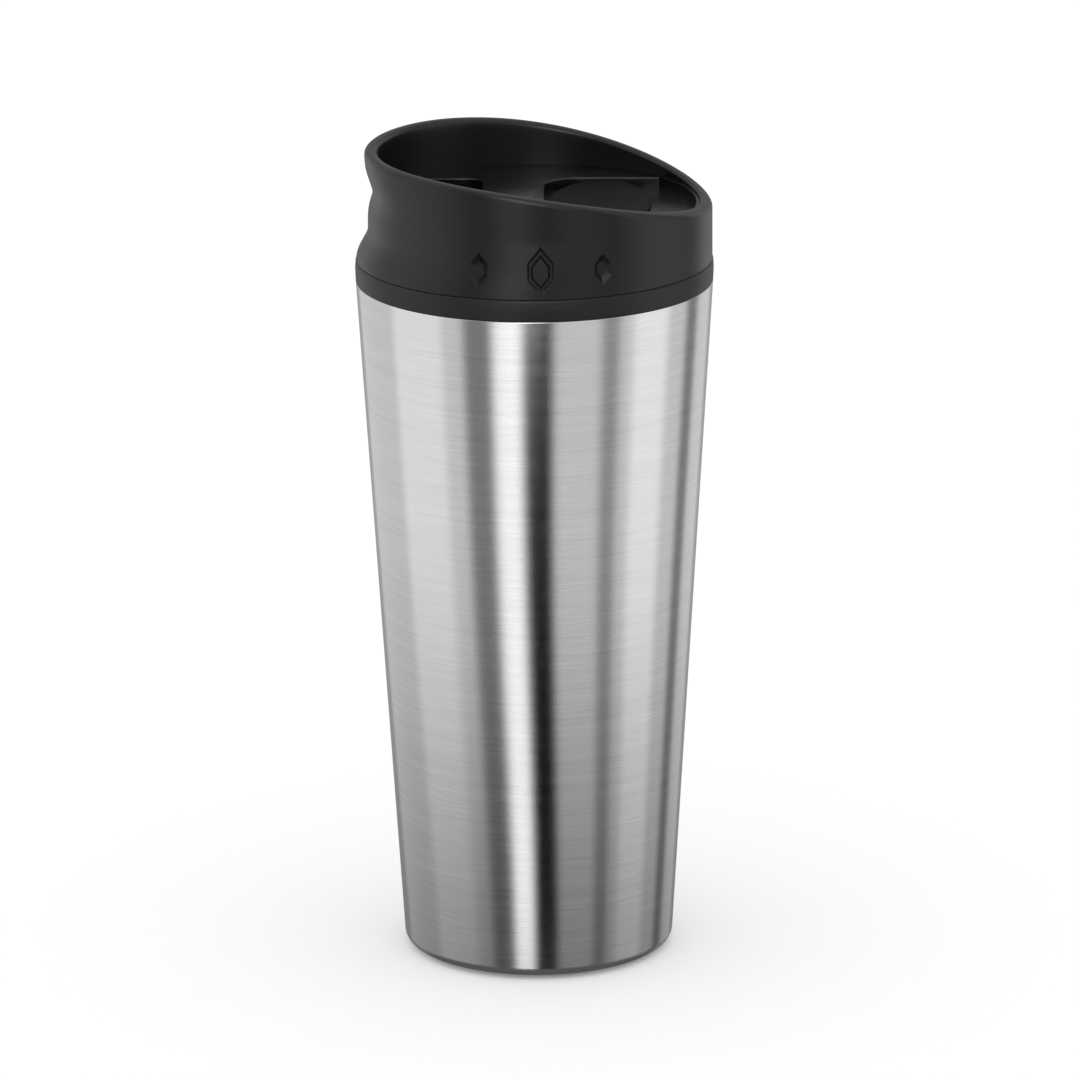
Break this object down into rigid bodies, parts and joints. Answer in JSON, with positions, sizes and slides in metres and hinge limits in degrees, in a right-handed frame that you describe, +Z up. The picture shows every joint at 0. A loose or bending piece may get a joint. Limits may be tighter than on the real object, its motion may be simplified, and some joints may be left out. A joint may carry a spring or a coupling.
{
  "type": "insulated travel mug",
  "caption": "Tapered insulated steel travel mug with a black screw-on lid, slanted rim, drink opening and sprung thumb pad that lifts the drink plug.",
  "frame": {"origin": "centre of the base, on the surface that the mug stands on", "axes": "+Z up along the mug's axis; -X is the lip side, where the rim is high; +X is the low side with the thumb pad"},
  "size_m": [0.0852, 0.0852, 0.1971],
  "materials": {
    "brushed_steel": "brushed round the body",
    "liner_steel": "satin",
    "small_steel": "bright",
    "foot_rubber": "matt",
    "foam": "foamed",
    "collar_plastic": "matt moulded",
    "lid_plastic": "satin moulded",
    "deck_plastic": "satin moulded, a little glossier than the shell",
    "pad_plastic": "satin moulded",
    "inner_plastic": "satin moulded",
    "silicone": "matt silicone"
  },
  "bodies": {
    "mug": {"outer_shell": "brushed_steel", "base_plate": "brushed_steel", "foot_pad": "foot_rubber", "inner_liner": "liner_steel", "foam_sleeve": "foam", "foam_base": "foam", "collar_ring": "collar_plastic", "lip_seal": "silicone", "neck_o_ring": "silicone"},
    "gasket": {"lid_gasket": "silicone"},
    "lid": {"lid_shell": "lid_plastic", "lid_deck": "deck_plastic", "lid_floor": "inner_plastic", "lid_o_ring": "silicone", "pivot_pin": "small_steel", "closing_spring": "small_steel"},
    "rocker": {"rocker_pad": "pad_plastic", "rocker_arm": "inner_plastic", "pad_screws": "small_steel", "drink_plug": "silicone", "plug_rivets": "inner_plastic", "vent_plug": "silicone"}
  },
  "joints": [
    {"name": "lid_lift", "type": "slide", "parent": "mug", "child": "gasket", "axis": [0, 0, 1], "range_m": [0, 0.0361]},
    {"name": "lid_turn", "type": "hinge", "parent": "gasket", "child": "lid", "pos_m": [0, 0, 0.16], "axis": [0, 0, 1], "range_deg": [0, 1080]},
    {"name": "rocker_tilt", "type": "hinge", "parent": "lid", "child": "rocker", "pos_m": [0.017, 0, 0.177], "axis": [0, 1, 0], "range_deg": [0, 6], "stiffness_Nm_per_rad": 0.06, "springref_deg": -11.46, "deforming": ["closing_spring"]}
  ],
  "couplings": [
    {"joint": "lid_lift", "follows": "lid_turn", "m_per_rad": 0.0019099}
  ]
}
